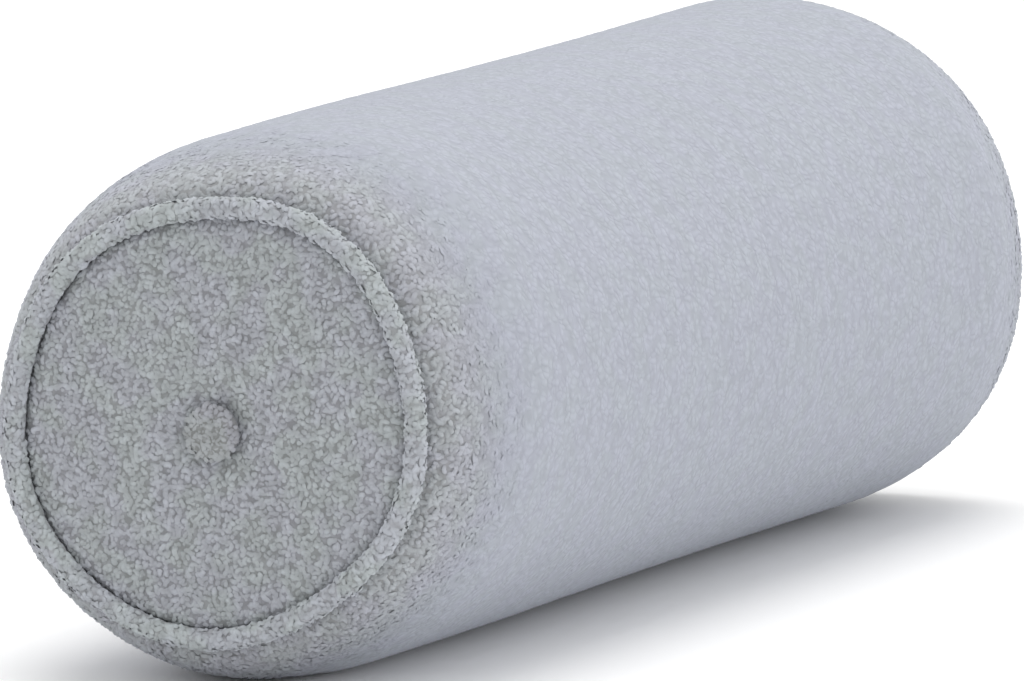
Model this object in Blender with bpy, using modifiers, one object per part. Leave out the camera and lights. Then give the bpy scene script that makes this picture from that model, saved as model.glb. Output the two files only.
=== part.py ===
"""Bolster cushion: a filled tube of boucle cloth, drawn in to a rounded shoulder at both ends.

Each end is closed by a round panel with a covered button in its dimple, and the seam between
tube and panel is finished with a covered cord. The cushion lies on its side along X, on the
plane z = 0, with its near end at -X. Metres, +Z up.
"""

import math

import bpy
from mathutils import Matrix

# Driving dimensions
LENGTH = 0.600               # over the two corded seams
BODY_RADIUS = 0.100          # the filled tube at its fullest, out to the tips of the pile
SHOULDER_LENGTH = 0.070      # along the axis, from a corded seam to the full radius
WAIST = 0.0012               # how much slimmer the tube is half way along
FLAT_HALF_WIDTH = 0.024      # of the strip underneath that lies on the surface
CORD_RADIUS = 0.0045         # of the covered cord in the end seams
CORD_RING_RADIUS = 0.077     # centre line of that cord
PANEL_THICKNESS = 0.003      # the cloth of an end panel with its pile
PANEL_CROWN = 0.0038         # rise of an end panel above the cord's centre plane
DIMPLE_DEPTH = 0.0062        # the panel pulled in under its button
DIMPLE_RADIUS = 0.019
BUTTON_RADIUS = 0.011
BUTTON_EDGE = 0.0022         # thickness of the button at its edge
BUTTON_CENTRE = 0.0062       # and at its centre
BUTTON_DROP = 0.0038         # the buttons sit a little below the middle of their panels
WAVE_REACH = 0.200           # how far from an end the unevenness of its seam is felt
GAP = 0.0003                 # between pieces that touch
BUTTON_GAP = 0.0005          # under a button, where both faces curve

# How finely the shapes are drawn
STEPS = 56                   # round the axis
CORD_SIDES = 10
BUTTON_STEPS = 30
PANEL_RINGS = 7
PANEL_RING_SPREAD = 1.4      # above 1 puts more rings near the middle of a panel
GROOVE_STEPS = 5
SHOULDER_STEPS = 8
MIDDLE_STEPS = 8
BUTTON_RINGS = 3
DOME_STEPS = 4

# Unevenness of each end's seam: waves round the axis, height, and the angle of a crest,
# counted from straight down towards the cushion's +Y side
WAVES = ("around", "height", "crest_deg")
END_WAVES = {
    "near": ((2, 0.0019, 46), (4, 0.0006, 33), (5, 0.0009, -2)),
    "far": ((2, 0.0008, -50), (3, 0.0012, -45), (5, 0.0005, 20)),
}

ENDS = {"near": -1, "far": 1}                        # the side of the axis that an end is on
HALF_LENGTH = LENGTH / 2
AXIS_HEIGHT = math.sqrt(BODY_RADIUS ** 2 - FLAT_HALF_WIDTH ** 2)
PANEL_RADIUS = CORD_RING_RADIUS - CORD_RADIUS - GAP
PANEL_EDGE_ROUND = 0.0008

# Colour and roughness of each cloth piece
CLOTHS = {
    "cushion_body": ((0.47, 0.50, 0.56), 0.92),
    "end_panel": ((0.40, 0.42, 0.45), 0.95),
    "piping": ((0.48, 0.51, 0.56), 0.90),
    "button": ((0.39, 0.41, 0.44), 0.95),
}


def clear_scene():
    for item in list(bpy.context.scene.objects):
        bpy.data.objects.remove(item, do_unlink=True)


def smooth_step(value):
    value = min(max(value, 0.0), 1.0)
    return value * value * (3 - 2 * value)


# Shape of an end, as distance in from the end plane and radius from the axis

def panel_face(radius):
    """Outer face of an end panel before its dimple is pulled in."""
    return CORD_RADIUS - PANEL_CROWN * (1 - (radius / PANEL_RADIUS) ** 2)


def ring_radii(outermost, rings):
    return [outermost * (ring / rings) ** PANEL_RING_SPREAD for ring in range(rings + 1)]


def panel_path():
    """Section of an end panel, from the axis along its back, round its edge and along its face."""
    radii = ring_radii(PANEL_RADIUS - PANEL_EDGE_ROUND, PANEL_RINGS)
    back = [(panel_face(radius) + PANEL_THICKNESS, radius) for radius in radii]
    face = [(panel_face(radius), radius) for radius in reversed(radii)]
    edge = [
        (CORD_RADIUS + PANEL_THICKNESS - PANEL_EDGE_ROUND, PANEL_RADIUS),
        (CORD_RADIUS + PANEL_EDGE_ROUND, PANEL_RADIUS),
    ]
    return back + edge + face


def button_path():
    """Section of a button, from the axis along its underside and back over its dome."""
    radii = [BUTTON_RADIUS * ring / BUTTON_RINGS for ring in range(BUTTON_RINGS + 1)]
    under = [(panel_face(radius) - BUTTON_GAP, radius) for radius in radii]
    dome = []
    for step in range(1, DOME_STEPS + 1):
        angle = math.pi / 2 * step / DOME_STEPS
        radius = BUTTON_RADIUS * math.cos(angle)
        height = BUTTON_EDGE + (BUTTON_CENTRE - BUTTON_EDGE) * math.sin(angle)
        dome.append((panel_face(radius) - BUTTON_GAP - height, max(radius, 0.0)))
    edge = [(panel_face(BUTTON_RADIUS) - BUTTON_GAP - BUTTON_EDGE, BUTTON_RADIUS)]
    return under + edge + dome


def shoulder_point(angle):
    """A quarter ellipse from the cord's centre line out to the full radius."""
    distance = CORD_RADIUS + SHOULDER_LENGTH * (1 - math.cos(angle))
    radius = CORD_RING_RADIUS + (BODY_RADIUS - CORD_RING_RADIUS) * math.sin(angle)
    return distance, radius


def from_cord(point):
    return math.hypot(point[0] - CORD_RADIUS, point[1] - CORD_RING_RADIUS)


def shoulder_start(clearance):
    """The angle at which the shoulder comes clear of the cord, found by halving."""
    low, high = 0.0, math.pi / 2
    for _ in range(40):
        middle = (low + high) / 2
        if from_cord(shoulder_point(middle)) < clearance:
            low = middle
        else:
            high = middle
    return high


def body_end_path():
    """Section of the tube's end: behind the panel, round the cord's groove, over the shoulder."""
    clearance = CORD_RADIUS + GAP
    depth = PANEL_THICKNESS + GAP
    groove_end = CORD_RING_RADIUS - math.sqrt(clearance ** 2 - depth ** 2)
    radii = ring_radii(PANEL_RADIUS - PANEL_EDGE_ROUND, PANEL_RINGS)
    behind_panel = [(panel_face(radius) + depth, radius) for radius in radii]

    start = shoulder_start(clearance)
    first = math.atan2(depth, groove_end - CORD_RING_RADIUS)
    last_point = shoulder_point(start)
    last = math.atan2(last_point[0] - CORD_RADIUS, last_point[1] - CORD_RING_RADIUS)
    groove = []
    for step in range(GROOVE_STEPS + 1):
        angle = first + (last - first) * step / GROOVE_STEPS
        distance = CORD_RADIUS + clearance * math.sin(angle)
        groove.append((distance, CORD_RING_RADIUS + clearance * math.cos(angle)))

    shoulder = []
    for step in range(1, SHOULDER_STEPS + 1):
        angle = start + (math.pi / 2 - start) * step / SHOULDER_STEPS
        shoulder.append(shoulder_point(angle))
    return behind_panel + groove + shoulder


# Placing a section at an end: the axis is the object's own Z, and the far end is up

def at_end(path, side):
    """Points (radius, z) of a section at an end, running from the top of the shape down."""
    points = [(radius, side * (HALF_LENGTH - distance)) for distance, radius in path]
    return points if side < 0 else points[::-1]


def body_section():
    end = body_end_path()
    upper = [(radius, HALF_LENGTH - distance) for distance, radius in end]
    lower = [(radius, distance - HALF_LENGTH) for distance, radius in reversed(end)]
    top = upper[-1][1]
    middle = []
    for step in range(1, MIDDLE_STEPS):
        middle.append((BODY_RADIUS, top - 2 * top * step / MIDDLE_STEPS))
    return upper + middle + lower


def turned_mesh(name, section, steps):
    """Turn a section given as (radius, z) from top to bottom about Z."""
    profile = bpy.data.meshes.new(name + "_profile")
    edges = [(index, index + 1) for index in range(len(section) - 1)]
    profile.from_pydata([(radius, 0.0, z) for radius, z in section], edges, [])
    guide = bpy.data.objects.new(name + "_profile", profile)
    bpy.context.scene.collection.objects.link(guide)
    screw = guide.modifiers.new("Turn", "SCREW")
    screw.axis = "Z"
    screw.angle = 2 * math.pi
    screw.steps = steps
    screw.render_steps = steps
    screw.use_merge_vertices = True
    screw.merge_threshold = 0.00001
    graph = bpy.context.evaluated_depsgraph_get()
    mesh = bpy.data.meshes.new_from_object(guide.evaluated_get(graph))
    mesh.name = name
    bpy.data.objects.remove(guide, do_unlink=True)
    return mesh


def ring_mesh(name, side):
    bpy.ops.mesh.primitive_torus_add(
        major_segments=STEPS,
        minor_segments=CORD_SIDES,
        major_radius=CORD_RING_RADIUS,
        minor_radius=CORD_RADIUS,
    )
    ring = bpy.context.active_object
    mesh = ring.data
    mesh.name = name
    mesh.transform(Matrix.Translation((0, 0, side * (HALF_LENGTH - CORD_RADIUS))))
    bpy.data.objects.remove(ring, do_unlink=True)
    return mesh


# The unevenness of the sewn cushion, one field for all pieces so that their gaps are kept

def seam_wave(end, angle):
    height = 0.0
    for row in END_WAVES[end]:
        wave = dict(zip(WAVES, row))
        turn = angle - math.radians(wave["crest_deg"])
        height += wave["height"] * math.cos(wave["around"] * turn)
    return height / CORD_RING_RADIUS


def slump(point):
    """Where a point of the regular shape lies on the sewn and filled cushion."""
    end = "near" if point.z < 0 else "far"
    side = ENDS[end]
    angle = math.atan2(point.y, point.x)
    inward = HALF_LENGTH - abs(point.z)
    wave = seam_wave(end, angle) * smooth_step(1 - inward / WAVE_REACH)
    waist = WAIST / BODY_RADIUS * math.cos(math.pi / 2 * point.z / HALF_LENGTH) ** 2
    scale = 1 + wave - waist

    from_button = math.hypot(point.x - BUTTON_DROP, point.y)
    dimple = DIMPLE_DEPTH * math.exp(-(from_button / DIMPLE_RADIUS) ** 2)
    point.z -= side * dimple * smooth_step(1 - inward / SHOULDER_LENGTH)
    point.x = min(point.x * scale, AXIS_HEIGHT)
    point.y *= scale


# Assembly

def cloth(name):
    colour, roughness = CLOTHS[name]
    material = bpy.data.materials.new(name + "_cloth")
    material.use_nodes = True
    shader = material.node_tree.nodes["Principled BSDF"]
    shader.inputs["Base Color"].default_value = (*colour, 1)
    shader.inputs["Roughness"].default_value = roughness
    shader.inputs["Metallic"].default_value = 0.0
    return material


def place(name, mesh, piece, collection, root):
    """Settle a mesh and lay it on its side, with the object's Z along the cushion's X."""
    for vertex in mesh.vertices:
        slump(vertex.co)
    mesh.materials.append(cloth(piece))
    mesh.shade_smooth()
    mesh.set_sharp_from_angle(angle=math.radians(50))
    item = bpy.data.objects.new(name, mesh)
    item.location = (0, 0, AXIS_HEIGHT)
    item.rotation_euler = (0, math.pi / 2, 0)
    item.parent = root
    collection.objects.link(item)


def button_mesh(name, side):
    mesh = turned_mesh(name, at_end(button_path(), side), BUTTON_STEPS)
    mesh.transform(Matrix.Translation((BUTTON_DROP, 0, 0)))
    return mesh


def main():
    clear_scene()
    collection = bpy.data.collections.new("bolster_cushion")
    bpy.context.scene.collection.children.link(collection)
    root = bpy.data.objects.new("bolster_cushion", None)
    collection.objects.link(root)

    body = turned_mesh("cushion_body", body_section(), STEPS)
    place("cushion_body", body, "cushion_body", collection, root)
    for end, side in ENDS.items():
        panel = turned_mesh("end_panel_" + end, at_end(panel_path(), side), STEPS)
        place("end_panel_" + end, panel, "end_panel", collection, root)
        place("piping_" + end, ring_mesh("piping_" + end, side), "piping", collection, root)
        place("button_" + end, button_mesh("button_" + end, side), "button", collection, root)


main()
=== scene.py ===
"""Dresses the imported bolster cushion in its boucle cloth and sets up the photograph's view of it.

The cloth of each piece is a fine skin laid on the frame's solids, a little inside them, with the
loops of its yarn standing on it as joined meshes out to where the solids reach. Metres, +Z up.
"""

import math

import bpy
import numpy as np
from mathutils import Matrix, Vector, noise
from mathutils.bvhtree import BVHTree


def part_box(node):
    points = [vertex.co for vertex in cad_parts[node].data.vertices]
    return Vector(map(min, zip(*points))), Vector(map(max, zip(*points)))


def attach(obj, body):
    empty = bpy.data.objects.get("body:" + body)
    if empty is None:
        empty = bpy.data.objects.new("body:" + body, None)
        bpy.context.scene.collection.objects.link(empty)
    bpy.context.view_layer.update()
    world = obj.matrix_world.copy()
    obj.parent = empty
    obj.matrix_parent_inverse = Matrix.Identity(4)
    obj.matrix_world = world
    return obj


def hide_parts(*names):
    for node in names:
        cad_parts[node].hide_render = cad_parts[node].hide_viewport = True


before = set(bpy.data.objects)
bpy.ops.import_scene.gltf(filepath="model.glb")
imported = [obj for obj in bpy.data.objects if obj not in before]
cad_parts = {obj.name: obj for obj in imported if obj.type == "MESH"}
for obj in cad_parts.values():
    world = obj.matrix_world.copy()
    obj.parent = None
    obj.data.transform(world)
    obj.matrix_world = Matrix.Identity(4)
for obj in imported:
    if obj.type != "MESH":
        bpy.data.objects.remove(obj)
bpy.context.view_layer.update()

# The photograph's camera: how it looks at the near end seam, in degrees, metres and pixels
PHOTO_WIDTH = 1024
PHOTO_HEIGHT = 681
FOCAL_PIXELS = 16000
SENSOR_WIDTH = 36.0            # millimetres
FROM_AXIS_DEG = 22.2           # between the line of sight and the roll, seen from above
ELEVATION_DEG = 7.1
CAMERA_DISTANCE = 5.638
SEAM_CENTRE_PIXEL = (214.6, 421.9)

# Lights: name, place, what it points at, width, watts and colour
LIGHTS = (
    ("key", (0.2, 0.15, 2.9), (0, 0, 0.1), 2.8, 45, (1.0, 0.99, 0.97)),
    ("fill", (-2.1, -1.5, 0.25), (-0.1, 0, 0.08), 1.6, 8, (0.97, 0.98, 1.0)),
    ("low_fill", (0.2, -2.4, 0.22), (0, -0.08, 0.0), 1.2, 10.5, (0.97, 0.98, 1.0)),
)
FLOOR_HALF = 20.0
FLOOR_DROP = 0.0004            # how far the floor lies below height 0

# The cloth, in metres
PILE = 0.0015                  # how far the skin lies inside the solid where loops stand on it
FLAT_PILE = 0.0005             # and along the middle, where they lie flat
PILE_POWER = 0.7               # how fast one gives way to the other
LOWEST = 0.0002                # no cloth hangs lower than this
TUCK_DEG = 41.5                # how far round the shoulder the skin runs before the cord covers it
SPINE_INSET = 0.072            # from an end to the point that its shoulder is surveyed from

# Where loops stand on the tube
OPEN_REACH = 0.010             # from an end: they stand high to here
THINNING = 0.026               # from the cord: they stand close together to here
LAST_LOOP = 0.062              # from either: the last of them, sunk and thinned out
# Painted light on the tube: near the ends its colours are darker, with darker gaps, as painted shade,
# and along the middle lighter and bluer, as painted sheen; the pile itself stands open at the ends and
# lies flat in the middle
END_SHADE_TO = 0.010                # from an end: the colours of an open pile reach to here
MIDDLE_SHEEN_FROM = 0.046           # and those of a flat one begin here
PRESSED = 0.60                 # how much lower the loops stand on top of the tube
LEAST_STAND = 0.1              # how high the last of them stand
STAND_POWER = 1.4              # how fast they sink to that

# A loop of the yarn
CURL_RADIUS = (0.0011, 0.0021)
CURL_TURN = (1.2, 3.0)         # radians from end to end
YARN_RADIUS = (0.00095, 0.00135)
FLAT_YARN = 0.75               # share of that radius where the pile lies flat
LIFT = 0.00015                 # of its centre line over the skin
ARCH = 0.00030                 # of its middle over that
ARCH_SPREAD = (0.6, 1.35)      # from one loop to another
SUNK = 0.0004                  # of its ends below it
STATIONS = 6                   # along it, with both ends
SIDES = 3                      # round it, one of them on top
TAPER = 0.3                    # power of its narrowing towards the ends
FLATTENED = 0.50               # its height over its width
ROUND = 0.88                   # how far its shading bends away from the skin's at its sides
# Painted shade on each loop: its colour darkens towards its sunk ends, half way down its sides and in
# the creases between the nubs
END_SHADE_POWER = 0.35               # of its darkening towards the ends
SIDE_PAINTED_LIGHT = 0.7                 # how light it is half way down its sides, from 0 to 1
CREASE_PAINTED_LIGHT = 0.35                # and in the creases between the nubs
CELL_MARGIN = 0.08             # round each loop in the map that its colours are baked to

# From one loop to the next, and how many such steps one may stray
SHOULDER_LOOPS = 0.0020
PANEL_LOOPS = 0.0019
CORD_LOOPS = 0.0020
STRAY = 0.5
PANEL_STRAY = 0.45

# The nubs that the loops bunch into, and those of each skin: width and height
NUB = 0.0034
NUB_HEIGHT = 0.0010
TUBE_NUB = 0.0046
TUBE_NUB_HEIGHT = 0.00026
TUBE_NUB_SUNK = 0.00014        # how much lower they are under high loops
PANEL_NUB_HEIGHT = 0.0004
CORD_NUB = 0.0046
CORD_NUB_HEIGHT = 0.0007
BUTTON_NUB = 0.0028
BUTTON_NUB_HEIGHT = 0.0001
NUB_FULLNESS = 1.5             # higher leaves narrower creases between them
CREASE_POWER = 0.6             # lower makes the creases steeper

# The cord, the panel and the button
SEAM_STATIONS = 56             # round the seam
SEAM_EASE = 0.35               # how softly it bends from one to the next, from 0 to 1
CORD_PILE = 0.0011             # as PILE
CORD_OPEN = (-0.6, 2.8)        # radians round the cord that lie open, from outermost towards the end
CORD_STAND = 0.75              # how high its loops stand, from 0 to 1
SURVEY_MARGIN = 0.0015         # the panel's solid is surveyed to this far from the cord
PANEL_TUCK = 0.0012            # its skin runs on under the cord by this
RIM_REACH = 0.0014             # and its loops by this
SEAM_FROM = 0.93               # share of the panel's radius where it begins to dip
SEAM_DEPTH = 0.0012            # of its edge, under the cord
BUTTON_PILE = 0.0008           # as PILE
BUTTON_RIM = 0.0006            # left free of loops
RAY_START = 0.4                # from the middle: outside both ends

# Steps of the skins
COLUMNS = 350                  # round the tube
SHOULDER_ROWS = 18
MIDDLE_ROWS = 224
CORD_ROWS = 420                # along a cord
CORD_COLUMNS = 24              # and round it
DISC_STEPS = 110               # across an end panel
BUTTON_COLUMNS = 64
BUTTON_ROWS = 32

# Passes that smooth the surveys
TUBE_PASSES = (26, 3)          # round it and along it
PANEL_PASSES = 7
BUTTON_PASSES = (6, 2)         # round it and from front to back

# The cloth's colours: how many spots to the metre, and shifts of red, green and blue
CELLS = 330
BENDS = 90                     # in the outlines of the cells
BEND = 0.005                   # how far these bends reach, in metres
DRAWN_OUT = (0.55, 1.0, 1.0)   # cells are longer along the tube
FUZZ = 1400
FUZZ_SHARE = 0.12              # of the bump
YARNS = 240                    # stretches of lighter and darker yarn
DARKER = (-0.085, -0.085, -0.09)
LIGHTER = (0.075, 0.075, 0.08)
HUES = 75                      # bluer and greener patches
BLUER = (0.0, -0.015, 0.03)
GREENER = (-0.015, 0.0, -0.015)

SEEDS = {"shoulder": 31, "shoulder_yarn": 41, "cord": 51, "cord_yarn": 61, "panel": 71,
         "panel_yarn": 81, "button_yarn": 91}
GOLDEN_ANGLE = math.pi * (3 - math.sqrt(5))
ALONG = np.array([1.0, 0, 0])
ENDS = {"near": -1, "far": 1}


# Surveying the solids

def tree_of(node):
    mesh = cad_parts[node].data
    corners = [vertex.co.copy() for vertex in mesh.vertices]
    return BVHTree.FromPolygons(corners, [tuple(face.vertices) for face in mesh.polygons])


def smoothed(values, passes, axis, wrap):
    """A soft average along one axis of a grid. Its ends stay put where it doesn't wrap."""
    for _ in range(passes):
        before, after = np.roll(values, 1, axis), np.roll(values, -1, axis)
        mean = 0.25 * before + 0.5 * values + 0.25 * after
        if not wrap:
            ends = [slice(None)] * values.ndim
            for end in (0, -1):
                ends[axis] = end
                mean[tuple(ends)] = values[tuple(ends)]
        values = mean
    return values


def grid_normals(points, wrap):
    """Unit normals of a grid of points, rows by columns; columns wrap round if asked."""
    along = np.gradient(points, axis=0)
    if wrap:
        across = (np.roll(points, -1, 1) - np.roll(points, 1, 1)) / 2
    else:
        across = np.gradient(points, axis=1)
    normals = np.cross(along, across)
    return normals / np.maximum(np.linalg.norm(normals, axis=2, keepdims=True), 1e-12)


def around(columns):
    """Unit vectors round the X axis, from straight down towards +Y."""
    angles = np.linspace(0, 2 * math.pi, columns, endpoint=False)
    return np.stack([np.zeros(columns), np.sin(angles), -np.cos(angles)], 1)


def corners_of(node):
    return np.array([vertex.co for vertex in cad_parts[node].data.vertices])


HALF_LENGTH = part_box("piping_far")[1].x
CORD_RADIUS = (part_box("piping_far")[1].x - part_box("piping_far")[0].x) / 2
SPINE_HEIGHT = float(corners_of("piping_near")[:, 2].mean())


def seam_line(end):
    """The centre line of an end's cord: its place along X, and its radius round the spine."""
    points = corners_of("piping_" + end)
    offset = points[:, 1:] - (0, SPINE_HEIGHT)
    angle = np.arctan2(offset[:, 0], -offset[:, 1]) % (2 * math.pi)
    radius = np.hypot(offset[:, 0], offset[:, 1])
    station = np.round(angle / (2 * math.pi) * SEAM_STATIONS).astype(int) % SEAM_STATIONS
    there = [radius[station == k] for k in range(SEAM_STATIONS)]
    middle = np.array([(one.max() + one.min()) / 2 for one in there])
    return (points[:, 0].max() + points[:, 0].min()) / 2, smoothed(middle, 1, 0, True)


def seam_radius(line, angles):
    """The seam's radius at any angles, read from its evenly spaced stations."""
    steps = len(line)
    place = np.asarray(angles) / (2 * math.pi) * steps % steps
    low = np.floor(place).astype(int)
    part = place - low
    part = part * part * (3 - 2 * part) * SEAM_EASE + part * (1 - SEAM_EASE)
    return line[low % steps] * (1 - part) + line[(low + 1) % steps] * part


def survey_tube():
    """A grid of points on the tube's solid: rows from the near end to the far, columns round."""
    tree = tree_of("cushion_body")
    out = around(COLUMNS)
    reach = HALF_LENGTH - SPINE_INSET
    tilts = np.radians(TUCK_DEG) * np.linspace(1, 0, SHOULDER_ROWS)
    rows = [(-reach, -tilt) for tilt in tilts]
    rows += [(x, 0.0) for x in np.linspace(-reach, reach, MIDDLE_ROWS + 2)[1:-1]]
    rows += [(reach, tilt) for tilt in tilts[::-1]]
    spine = np.array([(x, 0, SPINE_HEIGHT) for x, _ in rows])
    tilt = np.array([angle for _, angle in rows])
    direction = np.cos(tilt)[:, None, None] * out + np.sin(tilt)[:, None, None] * ALONG
    distance = np.zeros(direction.shape[:2])
    for row in range(len(rows)):
        origin = Vector(spine[row])
        for column in range(COLUMNS):
            distance[row, column] = tree.ray_cast(origin, Vector(direction[row, column]))[3]
    distance = smoothed(distance, TUBE_PASSES[0], 1, True)
    distance = smoothed(distance, TUBE_PASSES[1], 0, False)
    points = spine[:, None] + direction * distance[..., None]
    points[..., 2] = np.maximum(points[..., 2], 0)
    return points


def from_outside(tree, side, y, z):
    """Where a ray along X, from outside an end, first meets a tree, and the normal there."""
    return tree.ray_cast(Vector((side * RAY_START, y, z)), Vector((-side, 0, 0)))[:2]


# Meshes

def cloth_object(name, points, faces, material):
    mesh = bpy.data.meshes.new(name)
    mesh.from_pydata(points, [], faces)
    mesh.shade_smooth()
    mesh.materials.append(material)
    item = bpy.data.objects.new(name, mesh)
    bpy.context.scene.collection.objects.link(item)
    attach(item, "root")
    return item


def grid_faces(rows, columns, wrap_rows=False, wrap_columns=True):
    row = np.arange(rows if wrap_rows else rows - 1)
    column = np.arange(columns if wrap_columns else columns - 1)
    r, c = np.meshgrid(row, column, indexing="ij")
    nr, nc = (r + 1) % rows, (c + 1) % columns
    quads = np.stack([r * columns + c, nr * columns + c, nr * columns + nc, r * columns + nc], -1)
    return quads.reshape(-1, 4)


def square_to_disc(steps):
    """Points of an even grid bent from a square to the unit disc."""
    u, v = np.meshgrid(np.linspace(-1, 1, steps), np.linspace(-1, 1, steps), indexing="ij")
    return u * np.sqrt(1 - v * v / 2), v * np.sqrt(1 - u * u / 2)


def between(grid, row, column):
    """Values of a grid at any places in it. Its columns wrap round."""
    low_row = np.clip(np.floor(row).astype(int), 0, grid.shape[0] - 2)
    low_column = np.floor(column).astype(int)
    r, c = (row - low_row)[:, None], (column - low_column)[:, None]
    left, right = low_column % grid.shape[1], (low_column + 1) % grid.shape[1]
    low = grid[low_row, left] * (1 - c) + grid[low_row, right] * c
    high = grid[low_row + 1, left] * (1 - c) + grid[low_row + 1, right] * c
    return low * (1 - r) + high * r


# Loops

def loop_pattern():
    """One loop's faces, and the place of each face's corners along and round it, from 0 to 1."""
    last = 1 + (STATIONS - 2) * SIDES
    faces, places = [], []

    def corner(station, side):
        if station == 0:
            return 0
        if station == STATIONS - 1:
            return last
        return 1 + (station - 1) * SIDES + side % SIDES

    for station in range(STATIONS - 1):
        for side in range(SIDES):
            square = [(station, side), (station, side + 1), (station + 1, side + 1), (station + 1, side)]
            if station > 0:
                faces.append([corner(*square[k]) for k in (2, 1, 0)])
                places.append([square[k] for k in (2, 1, 0)])
            if station < STATIONS - 2:
                faces.append([corner(*square[k]) for k in (3, 2, 0)])
                places.append([square[k] for k in (3, 2, 0)])
    scale = np.array([STATIONS - 1, SIDES])
    return np.array(faces), np.array(places) / scale


def unit(vectors):
    return vectors / np.linalg.norm(vectors, axis=1, keepdims=True)


def make_pile(name, roots, normals, stand, material, seed):
    """A joined mesh of curled loops of yarn. stand is how high each one arches, from 0 to 1."""
    rng = np.random.default_rng(seed)
    count = len(roots)
    helper = np.where(np.abs(normals[:, :1]) < 0.8, [[1.0, 0, 0]], [[0, 1.0, 0]])
    first = unit(np.cross(normals, helper))
    second = np.cross(normals, first)
    spin = rng.uniform(0, 2 * math.pi, (count, 1))
    outward = np.cos(spin) * first + np.sin(spin) * second
    sideways = np.cross(normals, outward)
    radius = rng.uniform(*CURL_RADIUS, (count, 1))
    half_turn = rng.uniform(*CURL_TURN, (count, 1)) / 2
    each = stand[:, None]
    yarn = rng.uniform(*YARN_RADIUS, (count, 1)) * (FLAT_YARN + (1 - FLAT_YARN) * each)
    arch = ARCH * each * rng.uniform(*ARCH_SPREAD, (count, 1))

    # The loop's centre line
    along = np.linspace(-1, 1, STATIONS)[None]
    turn = along * half_turn
    middle = np.sin(half_turn) / half_turn
    out_by = (radius * (np.cos(turn) - middle))[..., None]
    side_by = (radius * np.sin(turn))[..., None]
    centre = roots[:, None] + outward[:, None] * out_by + sideways[:, None] * side_by
    lumps = [nubs(Vector(point), NUB) for point in centre.reshape(-1, 3)]
    lumps = np.array(lumps).reshape(count, STATIONS)
    arch = arch * (1 - along ** 2) + NUB_HEIGHT * each * (lumps - 0.5)
    rise = LIFT * each + arch - SUNK * each * along ** 4
    centre = centre + normals[:, None] * rise[..., None]

    # The yarn round it, closed to a point at both ends
    across = outward[:, None] * np.cos(turn)[..., None] + sideways[:, None] * np.sin(turn)[..., None]
    thick = (yarn * (1 - along ** 2) ** TAPER)[:, 1:-1, None, None]
    round_it = math.pi / 2 + np.arange(SIDES) * 2 * math.pi / SIDES
    lean = across[:, 1:-1, None] * np.cos(round_it)[:, None]
    height = normals[:, None, None] * np.sin(round_it)[:, None]
    rings = centre[:, 1:-1, None] + thick * (lean + height * (FLATTENED * stand[:, None, None, None]))
    points = np.concatenate([centre[:, :1], rings.reshape(count, -1, 3), centre[:, -1:]], 1)
    points[..., 2] = np.maximum(points[..., 2], LOWEST)
    faces, places = loop_pattern()
    every = (faces[None] + points.shape[1] * np.arange(count)[:, None, None]).reshape(-1, 3)
    item = cloth_object(name, points.reshape(-1, 3).tolist(), every.tolist(), material)

    # Painted shade: how light it is at each corner, darker towards its sunk ends, down its sides and in
    # the creases between the nubs
    top = SIDE_PAINTED_LIGHT + (1 - SIDE_PAINTED_LIGHT) * np.sin(round_it)
    deep = CREASE_PAINTED_LIGHT + (1 - CREASE_PAINTED_LIGHT) * lumps[:, 1:-1, None]
    painted_light = (1 - along[0, 1:-1, None] ** 2) ** END_SHADE_POWER * top * deep
    painted_lights = np.pad(painted_light.reshape(count, -1), ((0, 0), (1, 1))).ravel()
    attribute = item.data.attributes.new("painted_light", "FLOAT", "POINT")
    attribute.data.foreach_set("value", painted_lights.astype(np.float32))

    # Normals that shade it as round
    ends = np.cross(normals[:, None], across[:, [0, -1]]) * np.array([-1.0, 1.0])[:, None]
    lean = np.concatenate([ends[:, :1], lean.reshape(count, -1, 3), ends[:, 1:]], 1)
    shading = normals[:, None] + ROUND * stand[:, None, None] * lean
    item.data.normals_split_custom_set_from_vertices(unit(shading.reshape(-1, 3)).tolist())

    # A square of its own in the map that its colours are baked to
    side = math.ceil(math.sqrt(count))
    cell = np.stack([np.arange(count) % side, np.arange(count) // side], 1)
    inside = CELL_MARGIN + (1 - 2 * CELL_MARGIN) * places[None]
    map_places = ((cell[:, None, None] + inside) / side).astype(np.float32)
    item.data.uv_layers.new(name="OFBake").data.foreach_set("uv", map_places.ravel())


# Relief

def nubs(point, size):
    """Rounded lumps with creases between them, from 0 to 1."""
    near = noise.voronoi(point / size, distance_metric="DISTANCE")[0]
    return min(1.0, NUB_FULLNESS * (near[1] - near[0]) ** CREASE_POWER)


def raised(points, normals, size, height):
    """A skin's points moved out along its normals by the lumps of the yarn."""
    flat = points.reshape(-1, 3)
    lumps = np.array([nubs(Vector(p), size) for p in flat]).reshape(points.shape[:-1])
    return points + normals * (lumps * height)[..., None]


# Materials

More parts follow.
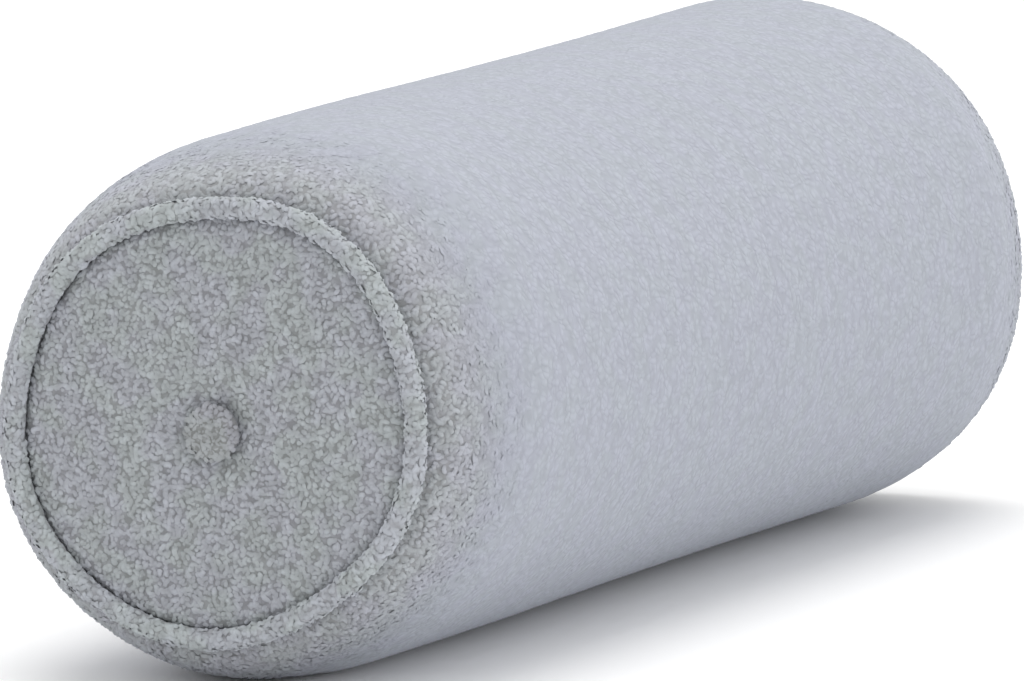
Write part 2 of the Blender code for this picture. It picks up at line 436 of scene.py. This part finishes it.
class Nodes:
    """Short ways to add the nodes of one material."""

    def __init__(self, name):
        self.material = bpy.data.materials.new(name)
        self.material.use_nodes = True
        self.all = self.material.node_tree.nodes
        self.links = self.material.node_tree.links
        self.shader = self.all["Principled BSDF"]
        self.place = self.all.new("ShaderNodeTexCoord").outputs["Object"]

    def feed(self, socket, value):
        if isinstance(value, (int, float)):
            socket.default_value = value
        elif isinstance(value, tuple):
            socket.default_value = value if len(value) == len(socket.default_value) else (*value, 1)
        else:
            self.links.new(value, socket)

    def noise(self, scale, detail=1):
        node = self.all.new("ShaderNodeTexNoise")
        self.feed(node.inputs["Scale"], scale)
        self.feed(node.inputs["Detail"], detail)
        self.feed(node.inputs["Vector"], self.place)
        return node.outputs

    def scalar(self, operation, *values):
        node = self.all.new("ShaderNodeMath")
        node.operation = operation
        for socket, value in zip(node.inputs, values):
            self.feed(socket, value)
        return node.outputs[0]

    def vector(self, operation, *values):
        node = self.all.new("ShaderNodeVectorMath")
        node.operation = operation
        for socket, value in zip(node.inputs, values):
            self.feed(socket, value)
        return node.outputs[0]

    def varied(self, colour, share, low, high, strength):
        """A colour moved from one shift of it to another, by share."""
        low, high = (tuple(1 + part * strength for part in shift) for shift in (low, high))
        return self.mix(1.0, colour, self.mix(share, low, high), "MULTIPLY")

    def mix(self, share, first, second, kind="MIX"):
        node = self.all.new("ShaderNodeMix")
        node.data_type = "RGBA"
        node.blend_type = kind
        for index, value in ((0, share), (6, first), (7, second)):
            self.feed(node.inputs[index], value)
        return node.outputs[2]

    def ramp(self, value, low, high):
        """How far a value is from low to high, from 0 to 1, with soft ends."""
        node = self.all.new("ShaderNodeMapRange")
        node.interpolation_type = "SMOOTHSTEP"
        for name, number in (("Value", value), ("From Min", low), ("From Max", high)):
            self.feed(node.inputs[name], number)
        return node.outputs["Result"]


def cloth(name, light, dark, loops, bump, tint=1.0, scale=1.0, middle=None):
    """Boucle. light is its yarn and dark its gaps; loops says that the meshes hold the yarn, and then
    its dark colour is painted shade on the loops' ends, sides and the creases between the nubs.
    tint is how strongly its colours vary, and scale how fine its cells are. middle is light and dark
    again for half way along the tube, where the pile is brushed flat; the colours nearer the ends are
    darker as painted shade, and those of the middle lighter and bluer as painted sheen."""
    n = Nodes(name)
    for socket, value in (("Roughness", 0.95), ("Specular IOR Level", 0.1), ("Sheen Weight", 0.25),
                          ("Sheen Roughness", 0.5), ("Sheen Tint", (0.88, 0.92, 1.0))):
        n.feed(n.shader.inputs[socket], value)
    # With loops, a mesh attribute paints shade: dark towards the loops' sunk ends, down their sides and
    # in the creases between the nubs
    if loops:
        node = n.all.new("ShaderNodeAttribute")
        node.attribute_name = "painted_light"
        strands_and_painted_shade = node.outputs["Fac"]
    else:
        drawn_out = n.vector("MULTIPLY", n.place, DRAWN_OUT)
        bent = n.vector("MULTIPLY_ADD", n.noise(BENDS * scale)["Color"], (BEND,) * 3, drawn_out)
        cells = n.all.new("ShaderNodeTexVoronoi")
        n.feed(cells.inputs["Scale"], CELLS * scale)
        n.feed(cells.inputs["Vector"], bent)
        strands_and_painted_shade = n.ramp(cells.outputs["Distance"], 0.75, 0.15)
    # Painted light along the tube: darker colours towards the ends as painted shade, lighter and bluer
    # ones along the middle as painted sheen
    if middle:
        separate = n.all.new("ShaderNodeSeparateXYZ")
        n.feed(separate.inputs[0], n.place)
        away = n.scalar("ABSOLUTE", separate.outputs["X"])
        end_shade_share = n.ramp(away, HALF_LENGTH - MIDDLE_SHEEN_FROM, HALF_LENGTH - END_SHADE_TO)
        light, dark = n.mix(end_shade_share, middle[0], light), n.mix(end_shade_share, middle[1], dark)
    yarn = n.mix(strands_and_painted_shade, dark, light)
    yarn = n.varied(yarn, n.ramp(n.noise(YARNS, 0)["Fac"], 0.3, 0.7), DARKER, LIGHTER, tint)
    yarn = n.varied(yarn, n.ramp(n.noise(HUES)["Fac"], 0.38, 0.62), BLUER, GREENER, tint)
    n.feed(n.shader.inputs["Base Color"], yarn)
    fuzz = n.noise(FUZZ, 2)["Fac"]
    node = n.all.new("ShaderNodeBump")
    n.feed(node.inputs["Distance"], bump)
    n.feed(node.inputs["Strength"], 1.0)
    n.feed(node.inputs["Height"], fuzz if loops else n.scalar("MULTIPLY_ADD", fuzz, FUZZ_SHARE, strands_and_painted_shade))
    n.feed(n.shader.inputs["Normal"], node.outputs["Normal"])
    return n.material


# Pieces

def make_tube(skin_cloth, loop_cloth):
    points = survey_tube()
    normals = grid_normals(points, True)
    outward = points - np.array([0, 0, SPINE_HEIGHT])
    if (normals * outward)[MIDDLE_ROWS // 2, :, 1:].sum() < 0:
        normals = -normals
    depth = HALF_LENGTH - np.abs(points[..., 0])
    loops = 1 - np.clip((depth - OPEN_REACH) / (LAST_LOOP - OPEN_REACH), 0, 1)
    inset = FLAT_PILE + (PILE - FLAT_PILE) * loops ** PILE_POWER
    base = points - normals * inset[..., None]
    skin = raised(base, normals, TUBE_NUB, TUBE_NUB_HEIGHT - TUBE_NUB_SUNK * loops)
    skin[..., 2] = np.maximum(skin[..., 2], LOWEST)
    rows, columns = skin.shape[:2]
    faces = grid_faces(rows, columns)[:, ::-1].tolist()
    corners = skin.reshape(-1, 3).tolist()
    for row in (0, rows - 1):
        corners.append(skin[row].mean(0).tolist())
        centre = len(corners) - 1
        for column in range(columns):
            a, b = row * columns + column, row * columns + (column + 1) % columns
            faces.append([b, a, centre] if row == 0 else [a, b, centre])
    tube = cloth_object("cloth_tube", corners, faces, skin_cloth)
    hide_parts("cushion_body")
    make_shoulder("near", base, skin, normals, loops, loop_cloth)
    make_shoulder("far", base[::-1], skin[::-1], normals[::-1], loops[::-1], loop_cloth)


def make_shoulder(end, base, skin, normals, loops, loop_cloth):
    """The tube's loops at one end. The rows of each grid begin there."""
    rng = np.random.default_rng(SEEDS["shoulder"] + ENDS[end])
    rows, columns = skin.shape[:2]
    spot = base.mean(1)
    ring = np.linalg.norm(base - spot[:, None], axis=2).mean(1)
    reach = np.concatenate([[0], np.cumsum(np.hypot(np.diff(spot[:, 0]), np.diff(ring)))])
    rows_at, columns_at = [], []
    for at in np.arange(0.5 * SHOULDER_LOOPS, LAST_LOOP, SHOULDER_LOOPS):
        count = int(2 * math.pi * np.interp(at, reach, ring) / SHOULDER_LOOPS)
        stray = rng.uniform(-STRAY, STRAY, (2, count))
        full = 1 - np.clip((at - THINNING) / (LAST_LOOP - THINNING), 0, 1)
        kept = rng.random(count) < full
        rows_at.append(np.interp(at + stray[0] * SHOULDER_LOOPS, reach, np.arange(rows))[kept])
        columns_at.append(((np.arange(count) + stray[1] + rng.random()) * columns / count)[kept])
    row, column = np.concatenate(rows_at), np.concatenate(columns_at)
    roots = between(skin, row, column)
    out = unit(between(normals, row, column))
    stand = between(loops[..., None], row, column)[:, 0] * (1 - PRESSED * np.clip(out[:, 2], 0, 1))
    stand = LEAST_STAND + (1 - LEAST_STAND) * stand ** STAND_POWER
    seed = SEEDS["shoulder_yarn"] + ENDS[end]
    make_pile("shoulder_loops_" + end, roots, out, stand, loop_cloth, seed)


def make_cord(end, skin_cloth, loop_cloth):
    side = ENDS[end]
    x, line = seam_line(end)
    spine = np.array([x, 0, SPINE_HEIGHT])
    radius = seam_radius(line, np.linspace(0, 2 * math.pi, CORD_ROWS, endpoint=False))
    out = around(CORD_ROWS)
    centre = spine + out * radius[:, None]
    turn = np.linspace(0, 2 * math.pi, CORD_COLUMNS, endpoint=False)[None, :, None]
    normals = np.cos(turn) * out[:, None] + np.sin(turn) * ALONG
    skin = centre[:, None] + normals * (CORD_RADIUS - CORD_PILE)
    skin = raised(skin, normals, CORD_NUB, CORD_NUB_HEIGHT).reshape(-1, 3).tolist()
    faces = grid_faces(CORD_ROWS, CORD_COLUMNS, wrap_rows=True).tolist()
    cord = cloth_object("piping_cord_" + end, skin, faces, skin_cloth)
    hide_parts("piping_" + end)

    rng = np.random.default_rng(SEEDS["cord"] + side)
    count = int(2 * math.pi * radius.mean() / CORD_LOOPS)
    turns = np.arange(*CORD_OPEN, CORD_LOOPS / CORD_RADIUS) * side
    stray = rng.uniform(-STRAY, STRAY, (2, len(turns), count))
    at = (((np.arange(count)[None] + stray[0]) / count * 2 * math.pi) % (2 * math.pi)).ravel()
    bend = (turns[:, None] + stray[1] * CORD_LOOPS / CORD_RADIUS).ravel()
    away = np.stack([np.zeros(len(at)), np.sin(at), -np.cos(at)], 1)
    normal = np.cos(bend)[:, None] * away + np.sin(bend)[:, None] * ALONG
    roots = spine + away * seam_radius(line, at)[:, None] + normal * (CORD_RADIUS - CORD_PILE)
    roots = raised(roots[None], normal[None], CORD_NUB, CORD_NUB_HEIGHT)[0]
    stand = np.full(len(at), CORD_STAND)
    seed = SEEDS["cord_yarn"] + side
    make_pile("piping_loops_" + end, roots, normal, stand, loop_cloth, seed)


def make_panel(end, skin_cloth, loop_cloth):
    side = ENDS[end]
    line = seam_line(end)[1]
    tree = tree_of("end_panel_" + end)
    u, v = square_to_disc(DISC_STEPS)
    angle = np.arctan2(u, -v) % (2 * math.pi)
    edge = seam_radius(line, angle) - CORD_RADIUS
    share = np.hypot(u, v)
    inside = np.minimum(share * edge, edge - SURVEY_MARGIN)
    face = np.zeros_like(u)
    for index in np.ndindex(u.shape):
        a, r = angle[index], inside[index]
        spot = from_outside(tree, side, r * math.sin(a), SPINE_HEIGHT - r * math.cos(a))[0]
        face[index] = spot.x
    face = smoothed(smoothed(face, PANEL_PASSES, 0, False), PANEL_PASSES, 1, False)
    radius = share * (edge + PANEL_TUCK)
    dip = np.clip((share - SEAM_FROM) / (1 - SEAM_FROM), 0, 1) ** 2 * SEAM_DEPTH
    points = [face - side * dip, radius * np.sin(angle), SPINE_HEIGHT - radius * np.cos(angle)]
    points = np.stack(points, -1)
    normals = grid_normals(points, False)
    if normals[..., 0].mean() * side < 0:
        normals = -normals
    base = points - normals * PILE
    skin = raised(base, normals, NUB, PANEL_NUB_HEIGHT).reshape(-1, 3).tolist()
    faces = grid_faces(DISC_STEPS, DISC_STEPS, wrap_columns=False)
    faces = (faces[:, ::-1] if side < 0 else faces).tolist()
    panel = cloth_object("cloth_panel_" + end, skin, faces, skin_cloth)
    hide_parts("end_panel_" + end)

    rng = np.random.default_rng(SEEDS["panel"] + side)
    base_tree = BVHTree.FromPolygons([Vector(point) for point in base.reshape(-1, 3)], faces)
    roots, out = [], []
    for r in np.arange(0.3 * PANEL_LOOPS, float(edge.max()) + PANEL_LOOPS, PANEL_LOOPS):
        count = max(1, int(2 * math.pi * r / PANEL_LOOPS))
        steps = np.arange(count) + rng.random() + rng.uniform(-PANEL_STRAY, PANEL_STRAY, count)
        for a in steps * 2 * math.pi / count:
            far = r + rng.uniform(-PANEL_STRAY, PANEL_STRAY) * PANEL_LOOPS
            if far > seam_radius(line, [a % (2 * math.pi)])[0] - CORD_RADIUS + RIM_REACH:
                continue
            y, z = far * math.sin(a), SPINE_HEIGHT - far * math.cos(a)
            spot, normal = from_outside(base_tree, side, y, z)
            if spot is not None:
                roots.append(spot)
                out.append(normal if normal.x * side > 0 else -normal)
    stand = np.ones(len(roots))
    seed = SEEDS["panel_yarn"] + side
    roots, out = np.array(roots), np.array(out)
    make_pile("panel_loops_" + end, roots, out, stand, loop_cloth, seed)


def make_button(end, skin_cloth, loop_cloth):
    node = "button_" + end
    side = ENDS[end]
    low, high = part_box(node)
    middle = (low + high) / 2
    tree = tree_of(node)
    lift = np.linspace(0, math.pi, BUTTON_ROWS)[:, None, None]
    direction = np.sin(lift) * around(BUTTON_COLUMNS) + np.cos(lift) * ALONG
    distance = np.zeros(direction.shape[:2])
    for index in np.ndindex(distance.shape):
        distance[index] = tree.ray_cast(middle, Vector(direction[index]))[3]
    distance = smoothed(distance, BUTTON_PASSES[0], 1, True)
    distance = smoothed(distance, BUTTON_PASSES[1], 0, False)
    skin = np.array(middle) + direction * (distance - BUTTON_PILE)[..., None]
    skin = raised(skin, direction, BUTTON_NUB, BUTTON_NUB_HEIGHT).reshape(-1, 3).tolist()
    faces = grid_faces(BUTTON_ROWS, BUTTON_COLUMNS).tolist()
    button = cloth_object("covered_button_" + end, skin, faces, skin_cloth)
    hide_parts(node)

    roots, out = [], []
    width = (high.y - low.y) / 2 - BUTTON_RIM
    count = int(math.pi * (width / PANEL_LOOPS) ** 2)
    for index in range(count):
        r = width * math.sqrt((index + 0.5) / count)
        a = index * GOLDEN_ANGLE
        y, z = middle.y + r * math.sin(a), middle.z - r * math.cos(a)
        spot, normal = from_outside(tree, side, y, z)
        if spot is not None:
            roots.append(spot - normal * BUTTON_PILE)
            out.append(normal)
    stand = np.ones(len(roots))
    seed = SEEDS["button_yarn"] + side
    roots, out = np.array(roots), np.array(out)
    make_pile("shaded_button_loops_" + end, roots, out, stand, loop_cloth, seed)


# Stage

def make_camera():
    turn, lift = math.radians(FROM_AXIS_DEG), math.radians(ELEVATION_DEG)
    forward = Vector((math.cos(turn) * math.cos(lift), math.sin(turn) * math.cos(lift), -math.sin(lift)))
    right = Vector((math.sin(turn), -math.cos(turn), 0))
    up = right.cross(forward)
    seam = Vector((-HALF_LENGTH + CORD_RADIUS, 0, SPINE_HEIGHT))
    across = (SEAM_CENTRE_PIXEL[0] - PHOTO_WIDTH / 2) / FOCAL_PIXELS * CAMERA_DISTANCE
    down = (SEAM_CENTRE_PIXEL[1] - PHOTO_HEIGHT / 2) / FOCAL_PIXELS * CAMERA_DISTANCE
    data = bpy.data.cameras.new("photo_camera")
    data.sensor_width = SENSOR_WIDTH
    data.lens = FOCAL_PIXELS / PHOTO_WIDTH * SENSOR_WIDTH
    data.clip_end = 100
    camera = bpy.data.objects.new("photo_camera", data)
    turned = Matrix((right, up, -forward)).transposed().to_4x4()
    turned.translation = seam - forward * CAMERA_DISTANCE - right * across + up * down
    camera.matrix_world = turned
    bpy.context.scene.collection.objects.link(camera)
    bpy.context.scene.camera = camera


def area_light(name, place, target, size, power, colour):
    data = bpy.data.lights.new(name, "AREA")
    data.shape = "DISK"
    data.size = size
    data.energy = power
    data.color = colour
    light = bpy.data.objects.new(name, data)
    light.location = place
    light.rotation_euler = (Vector(target) - Vector(place)).to_track_quat("-Z", "Y").to_euler()
    bpy.context.scene.collection.objects.link(light)


def make_stage():
    mesh = bpy.data.meshes.new("floor")
    corners = [(x * FLOOR_HALF, y * FLOOR_HALF, 0) for x, y in ((-1, -1), (1, -1), (1, 1), (-1, 1))]
    mesh.from_pydata(corners, [], [(0, 1, 2, 3)])
    n = Nodes("floor_paint")
    n.feed(n.shader.inputs["Base Color"], (0.95, 0.95, 0.95))
    n.feed(n.shader.inputs["Roughness"], 0.9)
    n.feed(n.shader.inputs["Specular IOR Level"], 0.0)
    mesh.materials.append(n.material)
    floor = bpy.data.objects.new("floor", mesh)
    floor.location.z = -FLOOR_DROP
    bpy.context.scene.collection.objects.link(floor)

    world = bpy.data.worlds.new("studio")
    world.use_nodes = True
    world.node_tree.nodes["Background"].inputs["Color"].default_value = (1, 1, 1, 1)
    world.node_tree.nodes["Background"].inputs["Strength"].default_value = 1.0
    bpy.context.scene.world = world
    for light in LIGHTS:
        area_light(*light)
    bpy.context.scene.view_settings.view_transform = "Standard"


# Each cloth, with the colours of its yarn and of the gaps in it

# The tube's first colours, for its ends, are darker as painted shade; those of its middle are lighter
# and bluer as painted sheen
tube_ground = cloth(
    "boucle_tube_ground", (0.305, 0.313, 0.33), (0.25, 0.255, 0.262), loops=False, bump=0.00028,
    tint=0.5, scale=1.3, middle=((0.332, 0.348, 0.393), (0.302, 0.317, 0.355)))
tube_loops = cloth(
    "boucle_tube_loops", (0.402, 0.419, 0.448), (0.29, 0.298, 0.307), loops=True, bump=0.0001,
    tint=0.8, middle=((0.325, 0.341, 0.383), (0.300, 0.313, 0.347)))
# Painted shade: the end panel's ground is darker than its loops, shading the gaps between them
end_ground = cloth(
    "boucle_end_ground", (0.272, 0.283, 0.294), (0.222, 0.23, 0.236), loops=False, bump=0.0003,
    scale=1.3)
end_loops = cloth(
    "boucle_end_loops", (0.393, 0.416, 0.439), (0.298, 0.31, 0.316), loops=True, bump=0.0001)
cord_ground = cloth(
    "boucle_cord_ground", (0.327, 0.341, 0.352), (0.282, 0.293, 0.299), loops=False, bump=0.0003,
    scale=1.3)
cord_loops = cloth(
    "boucle_cord_loops", (0.402, 0.428, 0.448), (0.325, 0.342, 0.35), loops=True, bump=0.0001)
# Painted shade: the button's cloth is a darker copy of the end panel's, shading the top that the key
# light catches
shaded_button_ground = cloth(
    "boucle_button_ground", (0.235, 0.241, 0.245), (0.19, 0.194, 0.195), loops=False, bump=0.0003,
    scale=1.3)
shaded_button_loops = cloth(
    "boucle_button_loops", (0.35, 0.365, 0.385), (0.265, 0.271, 0.275), loops=True, bump=0.0001)
make_tube(tube_ground, tube_loops)
for end in ENDS:
    make_cord(end, cord_ground, cord_loops)
    make_panel(end, end_ground, end_loops)
    make_button(end, shaded_button_ground, shaded_button_loops)
make_camera()
make_stage()
